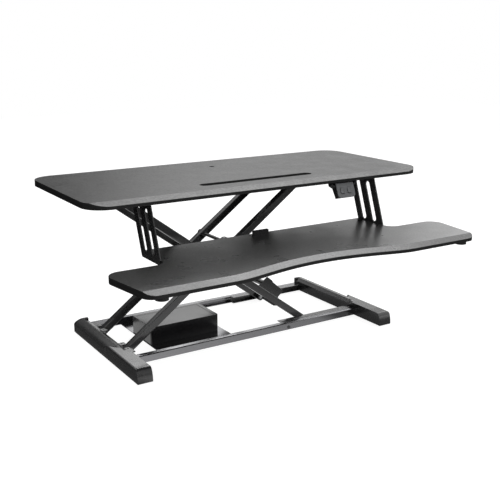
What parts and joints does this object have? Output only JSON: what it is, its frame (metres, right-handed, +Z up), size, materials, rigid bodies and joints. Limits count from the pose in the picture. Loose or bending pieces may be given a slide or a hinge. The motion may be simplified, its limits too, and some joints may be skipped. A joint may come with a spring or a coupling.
{
  "type": "standing desk converter",
  "caption": "Height-adjustable desk converter: a bevelled desktop and a curved keyboard tray on a motor-driven scissor lift with a railed base.",
  "frame": {"origin": "on the table plane, under the middle of the whole object's box at rest", "axes": "+Z up, +X to the user's right, +Y to the back, the user stands on the -Y side"},
  "size_m": [0.95, 0.6344, 0.43],
  "materials": {
    "board": "black laminated board, fine speckle",
    "steel": "black powder coat, satin",
    "plastic": "black moulded",
    "rubber": "matt",
    "bare_steel": "zinc plated",
    "motor_steel": "black can",
    "tube_metal": "drawn tube",
    "grey_plastic": "grey moulded panel",
    "bush_plastic": "acetal",
    "circuit_board": "circuit board"
  },
  "bodies": {
    "base": {"left_foot": "steel", "right_foot": "steel", "left_end_cap": "plastic", "right_end_cap": "plastic", "foot_pads": "rubber", "front_rail": "steel", "rear_rail": "steel", "front_track": "steel", "rear_track": "steel", "rail_screws": "steel", "front_hinge_bracket": "steel", "rear_hinge_bracket": "steel", "hinge_pins": "bare_steel", "base_plate": "steel", "control_box": "plastic", "control_board": "circuit_board", "power_inlet": "plastic"},
    "arm_a": {"front_arm_a": "steel", "rear_arm_a": "steel", "arm_a_bushes": "bush_plastic", "centre_pins": "bare_steel", "centre_spacers": "bush_plastic", "tie_shaft": "steel", "shaft_collar": "steel"},
    "arm_b": {"front_arm_b": "steel", "rear_arm_b": "steel", "arm_b_bushes": "bush_plastic", "front_gusset": "steel", "rear_gusset": "steel", "cross_tube": "steel", "roller_axles": "bare_steel", "cable_clip": "plastic"},
    "front_lower_roller": {"front_lower_roller": "plastic"},
    "rear_lower_roller": {"rear_lower_roller": "plastic"},
    "slide_bar": {"slide_bar": "steel", "slide_axle": "bare_steel", "actuator_rod": "bare_steel"},
    "front_upper_roller": {"front_upper_roller": "plastic"},
    "rear_upper_roller": {"rear_upper_roller": "plastic"},
    "desktop": {"desktop": "board", "front_upper_bracket": "steel", "rear_upper_bracket": "steel", "upper_pins": "bare_steel", "front_upper_track": "steel", "rear_upper_track": "steel", "desk_screws": "bare_steel", "actuator_motor": "motor_steel", "actuator_gearbox": "plastic", "actuator_tube": "tube_metal", "actuator_mount": "steel", "left_tray_bracket": "steel", "right_tray_bracket": "steel", "keyboard_tray": "board", "tray_screws": "plastic", "tray_bumpers": "rubber", "keyboard_stop": "plastic", "switch_housing": "plastic", "switch_panel": "grey_plastic"},
    "up_button": {"up_button": "grey_plastic"},
    "down_button": {"down_button": "grey_plastic"}
  },
  "joints": [
    {"name": "lift", "type": "hinge", "parent": "base", "child": "arm_a", "pos_m": [-0.3317, 0.1632, 0.0125], "axis": [0, -1, 0], "range_deg": [-26.44, 8.23]},
    {"name": "scissor_centre", "type": "hinge", "parent": "arm_a", "child": "arm_b", "pos_m": [-0.07333, 0.1632, 0.2035], "axis": [0, -1, 0], "range_deg": [-16.46, 52.88]},
    {"name": "desktop_level", "type": "hinge", "parent": "arm_b", "child": "desktop", "pos_m": [-0.3317, 0.1632, 0.3945], "axis": [0, -1, 0], "range_deg": [-26.45, 8.24]},
    {"name": "slide_level", "type": "hinge", "parent": "arm_a", "child": "slide_bar", "pos_m": [0.18503, 0.1632, 0.3945], "axis": [0, -1, 0], "range_deg": [-8.24, 26.45]},
    {"name": "front_lower_roll", "type": "hinge", "parent": "arm_b", "child": "front_lower_roller", "pos_m": [0.18503, 0.0392, 0.0125], "axis": [0, 1, 0], "continuous": true},
    {"name": "rear_lower_roll", "type": "hinge", "parent": "arm_b", "child": "rear_lower_roller", "pos_m": [0.18503, 0.2872, 0.0125], "axis": [0, 1, 0], "continuous": true},
    {"name": "front_upper_roll", "type": "hinge", "parent": "slide_bar", "child": "front_upper_roller", "pos_m": [0.18503, 0.0682, 0.3945], "axis": [0, 1, 0], "continuous": true},
    {"name": "rear_upper_roll", "type": "hinge", "parent": "slide_bar", "child": "rear_upper_roller", "pos_m": [0.18503, 0.2582, 0.3945], "axis": [0, 1, 0], "continuous": true},
    {"name": "up_press", "type": "slide", "parent": "desktop", "child": "up_button", "axis": [0, 0.9245, -0.3811], "range_m": [0, 0.0012], "stiffness_N_per_m": 400, "springref_m": -0.0015},
    {"name": "down_press", "type": "slide", "parent": "desktop", "child": "down_button", "axis": [0, 0.9245, -0.3811], "range_m": [0, 0.0012], "stiffness_N_per_m": 400, "springref_m": -0.0015}
  ],
  "couplings": [
    {"joint": "scissor_centre", "follows": "lift", "ratio": -2},
    {"joint": "desktop_level", "follows": "lift", "ratio": 1},
    {"joint": "slide_level", "follows": "lift", "ratio": -1}
  ]
}
